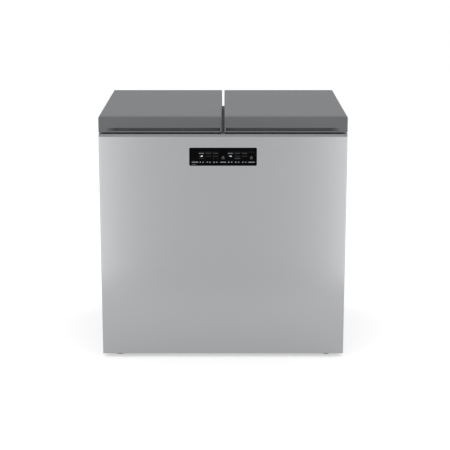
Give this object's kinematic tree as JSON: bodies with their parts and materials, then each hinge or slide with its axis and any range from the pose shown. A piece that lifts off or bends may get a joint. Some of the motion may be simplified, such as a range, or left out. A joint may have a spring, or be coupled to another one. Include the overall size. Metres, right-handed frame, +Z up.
{
  "type": "kimchi refrigerator",
  "caption": "Chest refrigerator with side-by-side top lids, recessed finger grips, a flat steel front, a touch display and stepped storage tubs.",
  "frame": {"origin": "on the floor, at the middle of the overall box", "axes": "+Z up, front faces -Y, +X to the right as seen from the front"},
  "size_m": [0.926, 0.78, 0.936],
  "materials": {
    "front_steel": "satin",
    "side_paint": "satin",
    "back_steel": "matte",
    "galvanised": "matte",
    "lid_grey": "satin",
    "frame_grey": "satin",
    "grip_grey": "matte",
    "tub_white": "satin",
    "foam": "matte",
    "copper": "satin",
    "aluminium": "satin",
    "zinc": "satin",
    "black_glass": "gloss",
    "black_enamel": "satin",
    "black_rubber": "matte",
    "gasket_grey": "matte",
    "dark_plastic": "matte",
    "white_plastic": "satin",
    "circuit_green": "satin"
  },
  "bodies": {
    "cabinet": {"base_pan": "galvanised", "side_panel_left": "side_paint", "side_panel_right": "side_paint", "back_panel": "back_steel", "front_panel": "front_steel", "top_frame": "frame_grey", "tub_left": "tub_white", "tub_right": "tub_white", "cabinet_foam": "foam", "evaporator_left": "copper", "evaporator_right": "copper", "sensor_covers": "white_plastic", "machine_room_wall": "galvanised", "display_window": "black_glass", "display_housing": "dark_plastic", "display_board": "circuit_green", "compressor": "black_enamel", "compressor_mounts": "black_rubber", "compressor_studs": "zinc", "terminal_cover": "white_plastic", "condenser": "aluminium", "fan_shroud": "dark_plastic", "fan_motor": "zinc", "filter_drier": "copper", "refrigerant_pipes": "copper", "control_box": "white_plastic", "control_board": "circuit_green", "control_box_cover": "white_plastic", "rear_cover": "back_steel", "rear_cover_screws": "zinc", "cord_gland": "black_rubber", "wall_spacers": "dark_plastic", "hinge_brackets": "zinc", "bracket_screws": "zinc", "hinge_pins": "zinc", "hinge_springs": "zinc", "foot_nuts": "zinc", "roller_brackets": "galvanised", "roller_axles": "zinc"},
    "lid_left": {"lid_shell_left": "lid_grey", "lid_liner_left": "tub_white", "lid_foam_left": "foam", "lid_gasket_left": "gasket_grey", "lid_grip_left": "grip_grey", "lid_bumper_left": "black_rubber", "hinge_leaves_left": "zinc"},
    "lid_right": {"lid_shell_right": "lid_grey", "lid_liner_right": "tub_white", "lid_foam_right": "foam", "lid_gasket_right": "gasket_grey", "lid_grip_right": "grip_grey", "lid_bumper_right": "black_rubber", "hinge_leaves_right": "zinc"},
    "fan": {"fan_rotor": "dark_plastic"},
    "foot_left_body": {"foot_left": "dark_plastic"},
    "foot_right_body": {"foot_right": "dark_plastic"},
    "roller_left_body": {"roller_left": "dark_plastic"},
    "roller_right_body": {"roller_right": "dark_plastic"}
  },
  "joints": [
    {"name": "lid_left_hinge", "type": "hinge", "parent": "cabinet", "child": "lid_left", "pos_m": [0, 0.361, 0.871], "axis": [-1, 0, 0], "range_deg": [0, 85]},
    {"name": "lid_right_hinge", "type": "hinge", "parent": "cabinet", "child": "lid_right", "pos_m": [0, 0.361, 0.871], "axis": [-1, 0, 0], "range_deg": [0, 85]},
    {"name": "fan_spin", "type": "hinge", "parent": "cabinet", "child": "fan", "pos_m": [-0.05, 0.19, 0.136], "axis": [1, 0, 0], "continuous": true},
    {"name": "foot_left_turn", "type": "hinge", "parent": "cabinet", "child": "foot_left_body", "pos_m": [-0.4, -0.33, 0.004], "axis": [0, 0, 1], "continuous": true},
    {"name": "foot_right_turn", "type": "hinge", "parent": "cabinet", "child": "foot_right_body", "pos_m": [0.4, -0.33, 0.004], "axis": [0, 0, 1], "continuous": true},
    {"name": "roller_left_spin", "type": "hinge", "parent": "cabinet", "child": "roller_left_body", "pos_m": [-0.4, 0.29, 0.013], "axis": [1, 0, 0], "continuous": true},
    {"name": "roller_right_spin", "type": "hinge", "parent": "cabinet", "child": "roller_right_body", "pos_m": [0.4, 0.29, 0.013], "axis": [1, 0, 0], "continuous": true}
  ]
}
